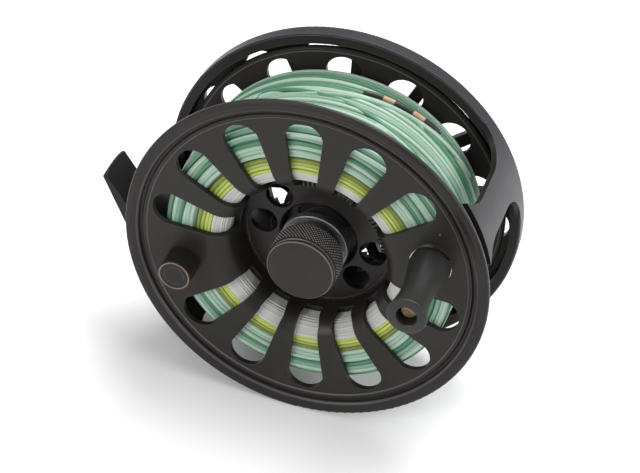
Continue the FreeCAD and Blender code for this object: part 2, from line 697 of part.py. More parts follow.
# ---------------------------------------------------------------- build, check and write
make_spool()
make_windings()
make_handle()
make_release_knob()
make_frame()
make_foot()
make_spindle()
make_bearings()
make_drag()
make_click()
make_drag_knob()
doc.recompute()

for item in doc.Objects:
    if "Invalid" in item.State or "Error" in item.State:
        raise RuntimeError("%s did not build: %s" % (item.Label, item.State))
os.makedirs("parts", exist_ok=True)
for piece in pieces:
    if piece.Shape.isNull() or not piece.Shape.isValid():
        raise RuntimeError("%s has no valid shape" % piece.Label)
    piece.Shape.exportStep("parts/%s.step" % piece.Label)
    box = piece.Shape.BoundBox
    print("%-22s %9.1f mm3  x %.2f..%.2f  y %.2f..%.2f  z %.2f..%.2f" % (
        piece.Label, piece.Shape.Volume, box.XMin, box.XMax, box.YMin, box.YMax, box.ZMin, box.ZMax))
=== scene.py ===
import json
import math
import bmesh
import bpy
import numpy as np
from mathutils import Matrix, Vector


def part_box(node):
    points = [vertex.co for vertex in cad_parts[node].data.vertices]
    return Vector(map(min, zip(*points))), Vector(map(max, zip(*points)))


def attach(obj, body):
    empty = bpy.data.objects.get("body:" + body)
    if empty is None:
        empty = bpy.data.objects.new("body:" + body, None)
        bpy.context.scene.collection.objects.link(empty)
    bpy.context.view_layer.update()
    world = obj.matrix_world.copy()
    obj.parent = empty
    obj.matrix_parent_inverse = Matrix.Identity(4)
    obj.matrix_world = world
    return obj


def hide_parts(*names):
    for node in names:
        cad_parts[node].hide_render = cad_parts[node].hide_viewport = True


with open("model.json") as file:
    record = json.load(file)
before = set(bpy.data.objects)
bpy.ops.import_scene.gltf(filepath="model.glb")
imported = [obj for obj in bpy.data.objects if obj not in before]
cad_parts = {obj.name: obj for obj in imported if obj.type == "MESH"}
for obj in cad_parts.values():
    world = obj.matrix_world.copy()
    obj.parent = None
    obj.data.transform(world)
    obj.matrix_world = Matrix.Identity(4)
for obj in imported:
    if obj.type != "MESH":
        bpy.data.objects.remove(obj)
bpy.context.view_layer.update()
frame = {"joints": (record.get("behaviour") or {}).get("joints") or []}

# ---------------------------------------------------------------- places and sizes, read from the frame
MM = 0.001
joints = {joint["name"]: joint for joint in frame["joints"]}
AXIS_X, _, AXIS_Z = joints["spool_spin"]["pos_m"]
HANDLE_X, _, HANDLE_Z = joints["grip_spin"]["pos_m"]
WEIGHT_X, WEIGHT_Z = 2 * AXIS_X - HANDLE_X, 2 * AXIS_Z - HANDLE_Z
FRONT_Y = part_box("spool")[0][1]                       # the front rim's plane, depth 0
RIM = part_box("spool")[1][0] - AXIS_X                  # outer radius of both rims
LEAN = 4.0                                            # how far the reel has rolled onto its foot, degrees
LINE_DIAMETER = 1.5 * MM
RUNNING_DIAMETER = 1.1 * MM
BACKING_DIAMETER = 0.55 * MM
SHOULDER_CENTRE = (28.5, 8.2)                         # radius and depth of the flange shoulder's centre, mm
SHOULDER_BEND = 5.1                                   # radius of the shoulder's inner face, mm
FLANK_BACK = 35.8                                     # depth of the rear flange's front face, mm
ARBOR_RADIUS = 23.45                                  # the spool's core, which the backing lies on, mm
PACK_RADIUS = 41.9                                    # the outermost turns of the head line, mm
SLEEVE_START, SLEEVE_SPAN = 83.0, 34.0                # where the line's end sleeve begins, and its arc, degrees
TEETH_FROM, TEETH_TO = 12, 108                        # the sector of the hub where the teeth show, degrees
TURN_STEPS = 240                                      # points round one turn of line
rng = np.random.default_rng(7)


def depth(value):
    """The Y of a plane that lies that many millimetres behind the front rim."""
    return FRONT_Y + value * MM


# ---------------------------------------------------------------- mesh building
def surface(name, points, wrap_rows=True, wrap_columns=True, flat_angle=35.0):
    """An object from a grid of points (rows, columns, 3), one quad per cell, closed where it wraps.

    Doubled points at poles are merged, and the faces are turned outwards by the sign of the enclosed
    volume: the sum over the triangles of a . (b x c).
    """
    rows, columns = points.shape[:2]
    index = np.arange(rows * columns).reshape(rows, columns)
    down = np.roll(index, -1, axis=0)
    right = np.roll(index, -1, axis=1)
    both = np.roll(down, -1, axis=1)
    quads = np.stack([index, right, both, down], axis=-1)
    quads = quads[: rows if wrap_rows else rows - 1, : columns if wrap_columns else columns - 1]
    quads = quads.reshape(-1, 4)
    flat = points.reshape(-1, 3)
    a, b, c, d = (flat[quads[:, k]] for k in range(4))
    volume = np.einsum("ij,ij->", a, np.cross(b, c)) + np.einsum("ij,ij->", a, np.cross(c, d))
    if volume < 0:
        quads = quads[:, ::-1]
    mesh = bpy.data.meshes.new(name)
    mesh.from_pydata(flat, [], quads)
    merge = bmesh.new()
    merge.from_mesh(mesh)
    bmesh.ops.remove_doubles(merge, verts=merge.verts, dist=1e-7)
    merge.to_mesh(mesh)
    merge.free()
    mesh.shade_smooth()
    mesh.set_sharp_from_angle(angle=math.radians(flat_angle))
    piece = bpy.data.objects.new(name, mesh)
    bpy.context.collection.objects.link(piece)
    return piece


def around(radius, y, angle, centre=None):
    """Points at the given radii, Y values and angles (radians, counter-clockwise from the front)."""
    x0, z0 = centre or (AXIS_X, AXIS_Z)
    level = y + 0 * radius * angle
    return np.stack([x0 + radius * np.cos(angle), level, z0 + radius * np.sin(angle)], axis=-1)


def lathe(name, profile, centre=None, steps=128, closed=True):
    """A profile of (radius, depth) pairs in millimetres, turned all round an axis along Y."""
    profile = np.asarray(profile, dtype=float)
    angle = np.linspace(0, 2 * math.pi, steps, endpoint=False)
    radius = profile[:, 0, None] * MM
    y = depth(profile[:, 1, None])
    return surface(name, around(radius, y, angle[None, :], centre), wrap_rows=closed)


# ---------------------------------------------------------------- wound line
def strands(name, radius, y, thickness, sides=8):
    """Closed strands round the axis: each row of radius and y gives one strand's path over the full turn.

    A point on a strand is (radius + a cos p, y + a sin p), with a half the thickness and p going round
    the strand. The attribute "shade" holds one random number per strand.
    """
    count, steps = radius.shape
    angle = np.linspace(0, 2 * math.pi, steps, endpoint=False)
    ring = np.linspace(0, 2 * math.pi, sides, endpoint=False)
    half = thickness / 2
    r = radius[:, :, None] + half * np.cos(ring)
    h = y[:, :, None] + half * np.sin(ring)
    t = np.broadcast_to(angle[None, :, None], r.shape)
    points = np.stack([AXIS_X + r * np.cos(t), h, AXIS_Z + r * np.sin(t)], axis=-1).reshape(-1, 3)
    index = np.arange(points.shape[0]).reshape(count, steps, sides)
    ahead = np.roll(index, -1, axis=1)
    turned = np.roll(index, -1, axis=2)
    both = np.roll(ahead, -1, axis=2)
    quads = np.stack([index, turned, both, ahead], axis=-1).reshape(-1, 4)
    corner = points[quads[0]]
    centre_line = np.array([AXIS_X + radius[0, 0], y[0, 0], AXIS_Z])
    outward = corner.mean(axis=0) - centre_line
    if np.dot(np.cross(corner[1] - corner[0], corner[2] - corner[0]), outward) < 0:
        quads = quads[:, ::-1]
    mesh = bpy.data.meshes.new(name)
    mesh.from_pydata(points, [], quads)
    mesh.shade_smooth()
    shade = mesh.attributes.new("shade", "FLOAT", "POINT")
    shade.data.foreach_set("value", np.repeat(rng.random(count), steps * sides).astype(np.float32))
    piece = bpy.data.objects.new(name, mesh)
    bpy.context.collection.objects.link(piece)
    return piece


def wobble(count, steps, size, waves=(1, 2, 3, 5)):
    """A slow random wave for each strand: a sum of a few sines over the turn, with random phases."""
    angle = np.linspace(0, 2 * math.pi, steps, endpoint=False)
    total = np.zeros((count, steps))
    for wave in waves:
        phase = rng.uniform(0, 2 * math.pi, (count, 1))
        strength = rng.uniform(0.3, 1.0, (count, 1)) / wave ** 0.7
        total += strength * np.sin(wave * angle[None, :] + phase)
    return total * size / 1.6


def bump_window(steps, start, end, soft=14.0):
    """1 between two angles in degrees and 0 elsewhere, with smooth shoulders, over a full turn."""
    angle = np.degrees(np.linspace(0, 2 * math.pi, steps, endpoint=False))
    middle, half = (start + end) / 2, (end - start) / 2
    away = np.abs((angle - middle + 180) % 360 - 180)
    t = np.clip((half + soft - away) / soft, 0, 1)
    return t * t * (3 - 2 * t)


def shoulder_depth(radius):
    """Depth in millimetres of the flange's inner face at a radius in millimetres.

    The face is flat outside the shoulder's centre and a quarter circle inside it.
    """
    centre_radius, centre_depth = SHOULDER_CENTRE
    offset = np.clip(centre_radius - radius, 0, SHOULDER_BEND - 0.1)
    return centre_depth - np.sqrt(SHOULDER_BEND ** 2 - offset ** 2)


def wound_layer(name, radius_mm, thickness, first, last, sway, steps=TURN_STEPS, sides=8):
    """One layer of turns side by side; each strand sways along the spool and rides up over its neighbours."""
    pitch = thickness * 1.02
    count = int((last - first) * MM / pitch) + 1
    along = depth(first) + pitch * np.arange(count)[:, None]
    middle, half = depth((first + last) / 2), (last - first) / 2 * MM
    crown = 0.35 * MM * (1 - ((along - middle) / half) ** 2)
    lift = rng.uniform(-0.25, 0.25, (count, 1)) * MM
    inside = 1 - 0.8 * np.abs((along - middle) / half) ** 6
    radius = (radius_mm - 0.35) * MM - thickness * 0.5 + crown + lift + wobble(count, steps, 0.12 * MM)
    y = along + wobble(count, steps, sway * MM, waves=(1, 2, 3, 4)) * inside
    return strands(name, radius, np.clip(y, depth(first - 0.2), depth(last + 0.2)), thickness, sides)


def crossing_strands(name, radius_mm, thickness, crossings, steps=TURN_STEPS, sides=8):
    """Strands that lie across the outer turns for part of the way round and dip under them elsewhere.

    Each crossing is (start angle, end angle, start depth, end depth), in degrees and millimetres.
    """
    angle = np.degrees(np.linspace(0, 2 * math.pi, steps, endpoint=False))
    radius, y = [], []
    for start, end, from_mm, to_mm in crossings:
        window = bump_window(steps, start, end)
        part = np.clip(((angle - start + 40) % 360) / (end - start + 80), 0, 1)
        path = depth(from_mm + (to_mm - from_mm) * part * part * (3 - 2 * part))
        y.append(window * path + (1 - window) * depth((from_mm + to_mm) / 2))
        low, high = radius_mm * MM - thickness * 2.2, radius_mm * MM - thickness * 0.52
        radius.append(low + (high - low) * window)
    return strands(name, np.array(radius), np.array(y), thickness, sides)


def side_layer(name, inner_mm, outer_mm, thickness, front, stir, pitch_ratio=0.97, steps=TURN_STEPS, sides=8,
               sunk=0.0, waves=(1, 2, 3)):
    """Strands seen edge on at one side of the pack, stacked outwards, that wander in and out.

    The front side follows the flange's rounded shoulder; the back side is flat. sunk moves the layer
    deeper into the pack, in millimetres.
    """
    pitch = thickness * pitch_ratio
    count = max(2, int((outer_mm - inner_mm) * MM / pitch))
    base = inner_mm * MM + pitch * (np.arange(count)[:, None] + 0.5)
    radius = base + wobble(count, steps, stir * MM, waves)
    radius = np.clip(radius, inner_mm * MM + thickness * 0.4, outer_mm * MM - thickness * 0.5)
    uneven = rng.uniform(0, 0.25, (count, 1)) * MM
    lift = thickness * 0.5 + sunk * MM + uneven + 0.12 * MM * np.abs(wobble(count, steps, 1.0))
    if front:
        y = depth(shoulder_depth(radius / MM)) + 0.1 * MM + lift
    else:
        y = depth(FLANK_BACK) - lift
    return strands(name, radius, y, thickness, sides)


def core(name, inner_mm, outer_mm, under):
    """A plain ring under the strands, so that no gap between them shows through the pack.

    Its front follows the shoulder, under millimetres behind it.
    """
    front = [(r, shoulder_depth(r) + under) for r in np.linspace(inner_mm, outer_mm, 8)]
    return lathe(name, front + [(outer_mm, FLANK_BACK - under), (inner_mm, FLANK_BACK - under)])


# ---------------------------------------------------------------- materials
def shader(name, base, roughness, metallic=0.0, specular=0.5, coat=0.0, coat_roughness=0.2):
    """A material with its nodes, links and Principled shader, whose constants are set on its sockets."""
    material = bpy.data.materials.new(name)
    material.use_nodes = True
    nodes, links = material.node_tree.nodes, material.node_tree.links
    principled = nodes["Principled BSDF"]
    principled.inputs["Base Color"].default_value = (*base, 1)
    principled.inputs["Roughness"].default_value = roughness
    principled.inputs["Metallic"].default_value = metallic
    principled.inputs["Specular IOR Level"].default_value = specular
    principled.inputs["Coat Weight"].default_value = coat
    principled.inputs["Coat Roughness"].default_value = coat_roughness
    return material, nodes, links, principled


def object_coordinates(nodes, links, centre=(0, 0, 0), scale=(1, 1, 1)):
    """Object coordinates moved so that centre is at zero, then scaled."""
    source = nodes.new("ShaderNodeTexCoord")
    move = nodes.new("ShaderNodeMapping")
    move.inputs["Location"].default_value = [-c * s for c, s in zip(centre, scale)]
    move.inputs["Scale"].default_value = scale
    links.new(source.outputs["Object"], move.inputs["Vector"])
    return move.outputs["Vector"]


def noise(nodes, links, vector, scale, detail=3.0, roughness=0.5):
    """Smooth random values from 0 to 1, with scale cells to the metre."""
    node = nodes.new("ShaderNodeTexNoise")
    node.inputs["Scale"].default_value = scale
    node.inputs["Detail"].default_value = detail
    node.inputs["Roughness"].default_value = roughness
    links.new(vector, node.inputs["Vector"])
    return node.outputs["Fac"]


def spread(nodes, links, value, low, high, to_low=0.0, to_high=1.0):
    """Maps low..high to to_low..to_high, clamped."""
    node = nodes.new("ShaderNodeMapRange")
    node.inputs["From Min"].default_value = low
    node.inputs["From Max"].default_value = high
    node.inputs["To Min"].default_value = to_low
    node.inputs["To Max"].default_value = to_high
    links.new(value, node.inputs["Value"])
    return node.outputs["Result"]


def calculate(nodes, links, kind, first, second=None):
    """One Math node; first and second are numbers or sockets."""
    node = nodes.new("ShaderNodeMath")
    node.operation = kind
    for socket, value in zip(node.inputs, (first, second)):
        if value is None:
            continue
        if isinstance(value, (int, float)):
            socket.default_value = value
        else:
            links.new(value, socket)
    return node.outputs["Value"]


def mixed(nodes, links, factor, first, second):
    """A colour between first and second, each a colour triple or a socket."""
    node = nodes.new("ShaderNodeMix")
    node.data_type = "RGBA"
    links.new(factor, node.inputs["Factor"])
    for socket, value in ((node.inputs[6], first), (node.inputs[7], second)):
        if isinstance(value, tuple):
            socket.default_value = (*value, 1)
        else:
            links.new(value, socket)
    return node.outputs[2]


def bump(nodes, links, principled, height, strength, distance, normal=None):
    """Raises the shading by a height, in metres at full strength, over the given normal."""
    node = nodes.new("ShaderNodeBump")
    if normal:
        links.new(normal, node.inputs["Normal"])
    node.inputs["Strength"].default_value = strength
    node.inputs["Distance"].default_value = distance
    links.new(height, node.inputs["Height"])
    links.new(node.outputs["Normal"], principled.inputs["Normal"])


def distance_from_axis(nodes, links, centre_x, centre_z):
    """Distance from a line along Y, in metres."""
    flat = object_coordinates(nodes, links, (centre_x, 0, centre_z), (1, 0, 1))
    length = nodes.new("ShaderNodeVectorMath")
    length.operation = "LENGTH"
    links.new(flat, length.inputs[0])
    return length.outputs["Value"]


def band(nodes, links, value, low, high, soft):
    """1 where value lies between low and high, falling to 0 over soft on both sides."""
    rise = spread(nodes, links, value, low - soft, low)
    fall = spread(nodes, links, value, high, high + soft, 1.0, 0.0)
    return calculate(nodes, links, "MULTIPLY", rise, fall)


def dust(nodes, links, vector, scale=260.0, size=0.055):
    """Sparse pale specks: the nearest-cell distance under a small limit, kept in some cells only."""
    cells = nodes.new("ShaderNodeTexVoronoi")
    cells.inputs["Scale"].default_value = scale
    links.new(vector, cells.inputs["Vector"])
    near = spread(nodes, links, cells.outputs["Distance"], size, size * 1.5, 1.0, 0.0)
    chosen = spread(nodes, links, cells.outputs["Color"], 0.80, 0.82)
    return calculate(nodes, links, "MULTIPLY", near, chosen)


def edge_mask(nodes, links, radius):
    """1 on the sharp edges and 0 away from them, with the rounded normal that lets an edge catch light."""
    rounded = nodes.new("ShaderNodeBevel")
    rounded.samples = 6
    rounded.inputs["Radius"].default_value = radius
    plain = nodes.new("ShaderNodeNewGeometry")
    agree = nodes.new("ShaderNodeVectorMath")
    agree.operation = "DOT_PRODUCT"
    links.new(rounded.outputs["Normal"], agree.inputs[0])
    links.new(plain.outputs["Normal"], agree.inputs[1])
    return spread(nodes, links, agree.outputs["Value"], 0.82, 0.99, 1.0, 0.0), rounded.outputs["Normal"]


def anodised(name, base=(0.0170, 0.0146, 0.0134), roughness=0.35, edge=(0.10, 0.096, 0.10), edge_amount=0.55,
             edge_radius=0.00022, turning=None, specks=0.5, bright=(), outer=None):
    """Black anodising over aluminium: a fine blasted grain, faint clouding, dust specks and lightened edges,
    partly polish wear and partly painted highlight lines. turning=(x, z) adds fine lathe rings about that axis.
    bright lists (x, z, low, high, colour) bands about an axis, painted highlight rings or real coloured rings.
    outer=(x, z, radius) paints the outer wall lighter and bluer, a painted sheen of the light falling on it."""
    material, nodes, links, principled = shader(name, base, roughness, specular=0.20)
    place = object_coordinates(nodes, links)
    clouds = noise(nodes, links, place, 45.0, 4.0, 0.6)
    tone = mixed(nodes, links, spread(nodes, links, clouds, 0.3, 0.75),
                 tuple(c * 0.82 for c in base), tuple(c * 1.18 for c in base))
    # Painted sheen: the outer wall is painted lighter and bluer where the light falls on it.
    if outer:
        reach = distance_from_axis(nodes, links, outer[0], outer[1])
        outer_wall_sheen = spread(nodes, links, reach, outer[2] - 0.0002, outer[2] - 0.00005)
        tone = mixed(nodes, links, outer_wall_sheen, tone, (0.027, 0.025, 0.030))
    # Bands of set colour about an axis: painted highlight rings, or real coloured rings.
    for centre_x, centre_z, low, high, colour in bright:
        reach = distance_from_axis(nodes, links, centre_x, centre_z)
        tone = mixed(nodes, links, band(nodes, links, reach, low, high, 0.00005), tone, colour)
    # Lightened edges: partly polish wear, partly painted highlight lines where the edges catch the light.
    mask, rounded = edge_mask(nodes, links, edge_radius)
    edge_patchiness = spread(nodes, links, noise(nodes, links, place, 260.0, 3.0, 0.6), 0.35, 0.65, 0.45, 1.0)
    edge_wear_and_highlight = calculate(nodes, links, "MULTIPLY", calculate(nodes, links, "MULTIPLY", mask, edge_patchiness), edge_amount)
    tone = mixed(nodes, links, edge_wear_and_highlight, tone, edge)
    speck = calculate(nodes, links, "MULTIPLY", dust(nodes, links, place), specks)
    tone = mixed(nodes, links, speck, tone, (0.22, 0.21, 0.20))
    links.new(tone, principled.inputs["Base Color"])
    smear = noise(nodes, links, place, 90.0, 5.0, 0.65)
    links.new(spread(nodes, links, smear, 0.25, 0.8, roughness - 0.07, roughness + 0.09),
              principled.inputs["Roughness"])
    grain = noise(nodes, links, place, 2600.0, 2.0, 0.5)
    if turning:
        reach = distance_from_axis(nodes, links, *turning)
        rings = calculate(nodes, links, "SINE", calculate(nodes, links, "MULTIPLY", reach, 26000.0))
        grain = calculate(nodes, links, "ADD", grain, calculate(nodes, links, "MULTIPLY", rings, 0.35))
    bump(nodes, links, principled, grain, 0.10, 0.00008, rounded)
    return material


def metal(name, base, roughness, turning=None, tarnish=(0.2, 0.15, 0.1), amount=0.4):
    """Bare turned metal: lathe rings, dull patches and uneven polish."""
    material, nodes, links, principled = shader(name, base, roughness, metallic=1.0)
    place = object_coordinates(nodes, links)
    patches = spread(nodes, links, noise(nodes, links, place, 420.0, 4.0, 0.6), 0.45, 0.7, 0.0, amount)
    links.new(mixed(nodes, links, patches, base, tarnish), principled.inputs["Base Color"])
    links.new(spread(nodes, links, noise(nodes, links, place, 200.0), 0.3, 0.7, roughness * 0.75,
                     roughness * 1.4), principled.inputs["Roughness"])
    centre = turning or (AXIS_X, AXIS_Z)
    reach = distance_from_axis(nodes, links, *centre)
    rings = calculate(nodes, links, "SINE", calculate(nodes, links, "MULTIPLY", reach, 30000.0))
    bump(nodes, links, principled, rings, 0.15, 0.00004)
    return material


def grip_plastic():
    """Moulded black grip: fine orange-peel, finger polish along the waist, small pale scuffs."""
    material, nodes, links, principled = shader("grip_black", (0.016, 0.015, 0.0145), 0.48, specular=0.32)
    place = object_coordinates(nodes, links)
    scuffs = spread(nodes, links, noise(nodes, links, place, 700.0, 5.0, 0.7), 0.66, 0.76, 0.0, 0.22)
    speck = calculate(nodes, links, "MAXIMUM", scuffs, dust(nodes, links, place, 420.0, 0.05))
    links.new(mixed(nodes, links, speck, (0.016, 0.015, 0.0145), (0.13, 0.125, 0.12)),
              principled.inputs["Base Color"])
    links.new(spread(nodes, links, noise(nodes, links, place, 130.0), 0.3, 0.7, 0.38, 0.58),
              principled.inputs["Roughness"])
    bump(nodes, links, principled, noise(nodes, links, place, 1800.0, 3.0), 0.18, 0.00012)
    return material


def line_coating(name, dark, light, own_tone, roughness=0.36, braid=False):
    """Coated line: each strand has its own tone, by own_tone, with soft blotches along it. Braid adds a
    fine weave."""
    material, nodes, links, principled = shader(name, light, roughness, specular=0.35, coat=0.1,
                                                coat_roughness=0.3)
    place = object_coordinates(nodes, links)
    attribute = nodes.new("ShaderNodeAttribute")
    attribute.attribute_name = "shade"
    blotch = noise(nodes, links, place, 60.0, 4.0, 0.6)
    blend = calculate(nodes, links, "ADD",
                      calculate(nodes, links, "MULTIPLY", attribute.outputs["Fac"], own_tone),
                      calculate(nodes, links, "MULTIPLY", blotch, 1.0 - own_tone))
    links.new(mixed(nodes, links, spread(nodes, links, blend, 0.18, 0.68), dark, light),
              principled.inputs["Base Color"])
    links.new(spread(nodes, links, noise(nodes, links, place, 500.0), 0.3, 0.7, roughness - 0.06,
                     roughness + 0.12), principled.inputs["Roughness"])
    principled.inputs["Subsurface Weight"].default_value = 0.05
    principled.inputs["Subsurface Radius"].default_value = (0.001, 0.001, 0.001)
    principled.inputs["Subsurface Scale"].default_value = 0.5
    if braid:
        weave = nodes.new("ShaderNodeTexVoronoi")
        weave.inputs["Scale"].default_value = 2600.0
        links.new(place, weave.inputs["Vector"])
        bump(nodes, links, principled, weave.outputs["Distance"], 0.4, 0.00008)
    else:
        bump(nodes, links, principled, noise(nodes, links, place, 1500.0), 0.08, 0.00005)
    return material


def give(names, material):
    """Puts one material on CAD nodes or pieces."""
    for name in names:
        mesh = bpy.data.objects[name].data
        mesh.materials.clear()
        mesh.materials.append(material)


# ---------------------------------------------------------------- camera, floor and light
def make_camera():
    """A long lens above and to the right of the reel's face. Its place and turn are given about the
    middle of the front rim, in rim radii, before the reel's lean."""
    lean = Matrix.Rotation(math.radians(-LEAN), 3, "Y")
    place = lean @ Vector((2.691, -7.777, 6.381)) * RIM
    right = lean @ Vector((0.9486, 0.3165, 0.0))
    up = lean @ Vector((-0.1903, 0.5704, 0.7990))
    back = right.cross(up)
    camera = bpy.data.objects.new("camera", bpy.data.cameras.new("camera"))
    bpy.context.collection.objects.link(camera)
    camera.data.lens = 112.5
    camera.data.sensor_width = 36.0
    camera.data.clip_start, camera.data.clip_end = 0.05, 20.0
    turn = Matrix((right, up, back)).transposed().to_4x4()
    camera.matrix_world = Matrix.Translation(Vector((AXIS_X, FRONT_Y, AXIS_Z)) + place) @ turn
    bpy.context.scene.camera = camera


def area_light(name, place, target, size, power):
    """A soft rectangular light that points at target."""
    light = bpy.data.objects.new(name, bpy.data.lights.new(name, "AREA"))
    bpy.context.collection.objects.link(light)
    light.data.shape = "RECTANGLE"
    light.data.size, light.data.size_y = size
    light.data.energy = power
    light.location = place
    light.rotation_mode = "QUATERNION"
    light.rotation_quaternion = (Vector(target) - Vector(place)).to_track_quat("-Z", "Y")


def make_stage():
    """A plain pale floor, a white surround and three soft lights."""
    mesh = bpy.data.meshes.new("floor")
    mesh.from_pydata([(-3, -3, 0), (3, -3, 0), (3, 3, 0), (-3, 3, 0)], [], [(0, 1, 2, 3)])
    floor = bpy.data.objects.new("floor", mesh)
    bpy.context.collection.objects.link(floor)
    material, *_ = shader("floor", (0.86, 0.86, 0.86), 0.75, specular=0.2)
    mesh.materials.append(material)
    world = bpy.data.worlds.new("surround")
    world.use_nodes = True
    world.node_tree.nodes["Background"].inputs["Color"].default_value = (1, 1, 1, 1)
    world.node_tree.nodes["Background"].inputs["Strength"].default_value = 0.55
    bpy.context.scene.world = world
    middle = (0, 0, 0.05)
    area_light("top_light", (0.10, 0.25, 0.75), middle, (0.6, 0.5), 7.0)
    area_light("front_light", (-0.45, -0.75, 0.45), middle, (0.5, 0.5), 4.5)
    area_light("side_light", (0.75, -0.15, 0.35), middle, (0.35, 0.5), 3.5)
    bpy.context.scene.view_settings.view_transform = "Standard"


# ---------------------------------------------------------------- pieces
def make_line():
    """Backing, running line and head line as real strands over plain cores."""
    backing = [
        core("backing_core", 23.6, 27.9, 0.35),
        side_layer("backing_front", 23.5, 28.1, BACKING_DIAMETER, True, 0.12, 0.62, sides=6),
        side_layer("backing_back", 23.5, 28.1, BACKING_DIAMETER, False, 0.12, 0.62, sides=6)]
    bottom = np.full((int(8.5 * MM / BACKING_DIAMETER), TURN_STEPS),
                     ARBOR_RADIUS * MM + BACKING_DIAMETER / 2)
    rows = depth(26.4) + BACKING_DIAMETER * np.arange(bottom.shape[0])[:, None]
    rows = rows + wobble(bottom.shape[0], TURN_STEPS, 0.1 * MM)
    backing.append(strands("backing_bottom", bottom, rows, BACKING_DIAMETER, 6))
    running = [
        core("running_core", 28.0, 32.3, 0.75),
        side_layer("running_front", 27.95, 32.65, RUNNING_DIAMETER, True, 0.16),
        side_layer("running_back", 27.95, 32.65, RUNNING_DIAMETER, False, 0.07)]
    crossings = [(20, 120, 9, 27), (60, 150, 30, 12), (95, 175, 6, 20), (150, 260, 24, 33),
                 (210, 320, 8, 22), (300, 400, 28, 10), (30, 95, 33, 22), (10, 70, 7, 19), (-5, 55, 26, 12)]
    head = [
        core("head_core", 32.4, 38.4, 1.4),
        wound_layer("head_outer", 41.6, LINE_DIAMETER, 5.0, 34.7, 0.75),
        wound_layer("head_under", 40.4, LINE_DIAMETER, 4.6, 34.8, 0.5),
        crossing_strands("head_crossing", PACK_RADIUS, LINE_DIAMETER, crossings),
        side_layer("head_front", 32.5, 41.0, LINE_DIAMETER, True, 0.95, 0.85, waves=(1, 2, 3, 4, 6)),
        side_layer("head_front_under", 32.5, 40.8, LINE_DIAMETER, True, 0.35, 0.95, sunk=0.7, waves=(2, 3, 5)),
        side_layer("head_back", 32.5, 41.0, LINE_DIAMETER, False, 0.4, 0.85, waves=(1, 2, 3, 5))]
    looks = {
        "backing_winding": (backing, "backing_white", line_coating(
            "backing_braid", (0.36, 0.36, 0.345), (0.47, 0.47, 0.45), 0.35, 0.7, braid=True)),
        "running_line_winding": (running, "running_green", line_coating(
            "running_coat", (0.13, 0.16, 0.020), (0.385, 0.455, 0.105), 0.6)),
        "head_line_winding": (head, "head_mint", line_coating(
            "head_coat", (0.052, 0.165, 0.092), (0.300, 0.420, 0.335), 0.75))}
    for node, (pieces, slot, material) in looks.items():
        for piece in pieces:
            give([piece.name], material)
            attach(piece, "spool_body")
            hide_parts(node)
    make_line_end()


def make_line_end():
    """The line's end: a short black and tan sleeve that lies on the outer turns."""
    material, nodes, links, principled = shader("sleeve_bands", (0.02, 0.02, 0.02), 0.45)
    attribute = nodes.new("ShaderNodeAttribute")
    attribute.attribute_name = "along"
    tan = band(nodes, links, attribute.outputs["Fac"], 0.24, 0.36, 0.01)
    tan_two = band(nodes, links, attribute.outputs["Fac"], 0.60, 0.74, 0.01)
    both = calculate(nodes, links, "MAXIMUM", tan, tan_two)
    fibres = noise(nodes, links, object_coordinates(nodes, links), 900.0)
    tan_tone = mixed(nodes, links, fibres, (0.30, 0.17, 0.10), (0.50, 0.36, 0.25))
    links.new(mixed(nodes, links, both, (0.018, 0.018, 0.02), tan_tone), principled.inputs["Base Color"])
    bump(nodes, links, principled, fibres, 0.3, 0.0001)
    steps, sides = 60, 10
    t = np.linspace(0, 1, steps)
    angle = np.radians(SLEEVE_START - SLEEVE_SPAN * t)
    radius = PACK_RADIUS * MM - 0.35 * MM - 0.5 * MM * np.abs(2 * t - 1) ** 6
    y = depth(27.5 + 3.2 * t)
    taper = 0.75 * MM * np.sqrt(np.clip(1 - np.abs(2 * t - 1) ** 24, 0, 1))
    taper[0] = taper[-1] = 0.0
    ring = np.linspace(0, 2 * math.pi, sides, endpoint=False)
    r = radius[:, None] + taper[:, None] * np.cos(ring)
    h = y[:, None] + taper[:, None] * np.sin(ring)
    points = np.stack([AXIS_X + r * np.cos(angle)[:, None], h, AXIS_Z + r * np.sin(angle)[:, None]], axis=-1)
    piece = surface("line_end_sleeve", points, wrap_rows=False)
    count = len(piece.data.vertices)
    where = np.empty(count * 3)
    piece.data.vertices.foreach_get("co", where)
    where = where.reshape(-1, 3)
    turned = np.degrees(np.arctan2(where[:, 2] - AXIS_Z, where[:, 0] - AXIS_X))
    along = piece.data.attributes.new("along", "FLOAT", "POINT")
    along.data.foreach_set("value", ((SLEEVE_START - turned) / SLEEVE_SPAN).astype(np.float32))
    give([piece.name], material)
    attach(piece, "spool_body")
    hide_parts("head_line_winding")


def knurled_band(low_mm, high_mm, radius_mm, around_count=64, height=0.32):
    """Rows of (radius, depth) with the knurl's pyramids.

    The height is the smaller of two triangle waves that run along crossing helices.
    """
    steps = around_count * 8
    angle = np.linspace(0, 2 * math.pi, steps, endpoint=False)
    rows = np.linspace(low_mm, high_mm, 58)
    pitch = 2 * math.pi * radius_mm / around_count
    a = (around_count * angle[None, :] / (2 * math.pi) + rows[:, None] / pitch / 1.15) % 1.0
    b = (around_count * angle[None, :] / (2 * math.pi) - rows[:, None] / pitch / 1.15) % 1.0
    wave = np.minimum(1 - np.abs(2 * a - 1), 1 - np.abs(2 * b - 1))
    fade = np.clip(np.minimum(rows - low_mm, high_mm - rows) / 0.35, 0, 1)[:, None]
    radius = radius_mm - height + height * np.clip(wave * 1.6, 0, 1) * fade
    return radius, rows, angle


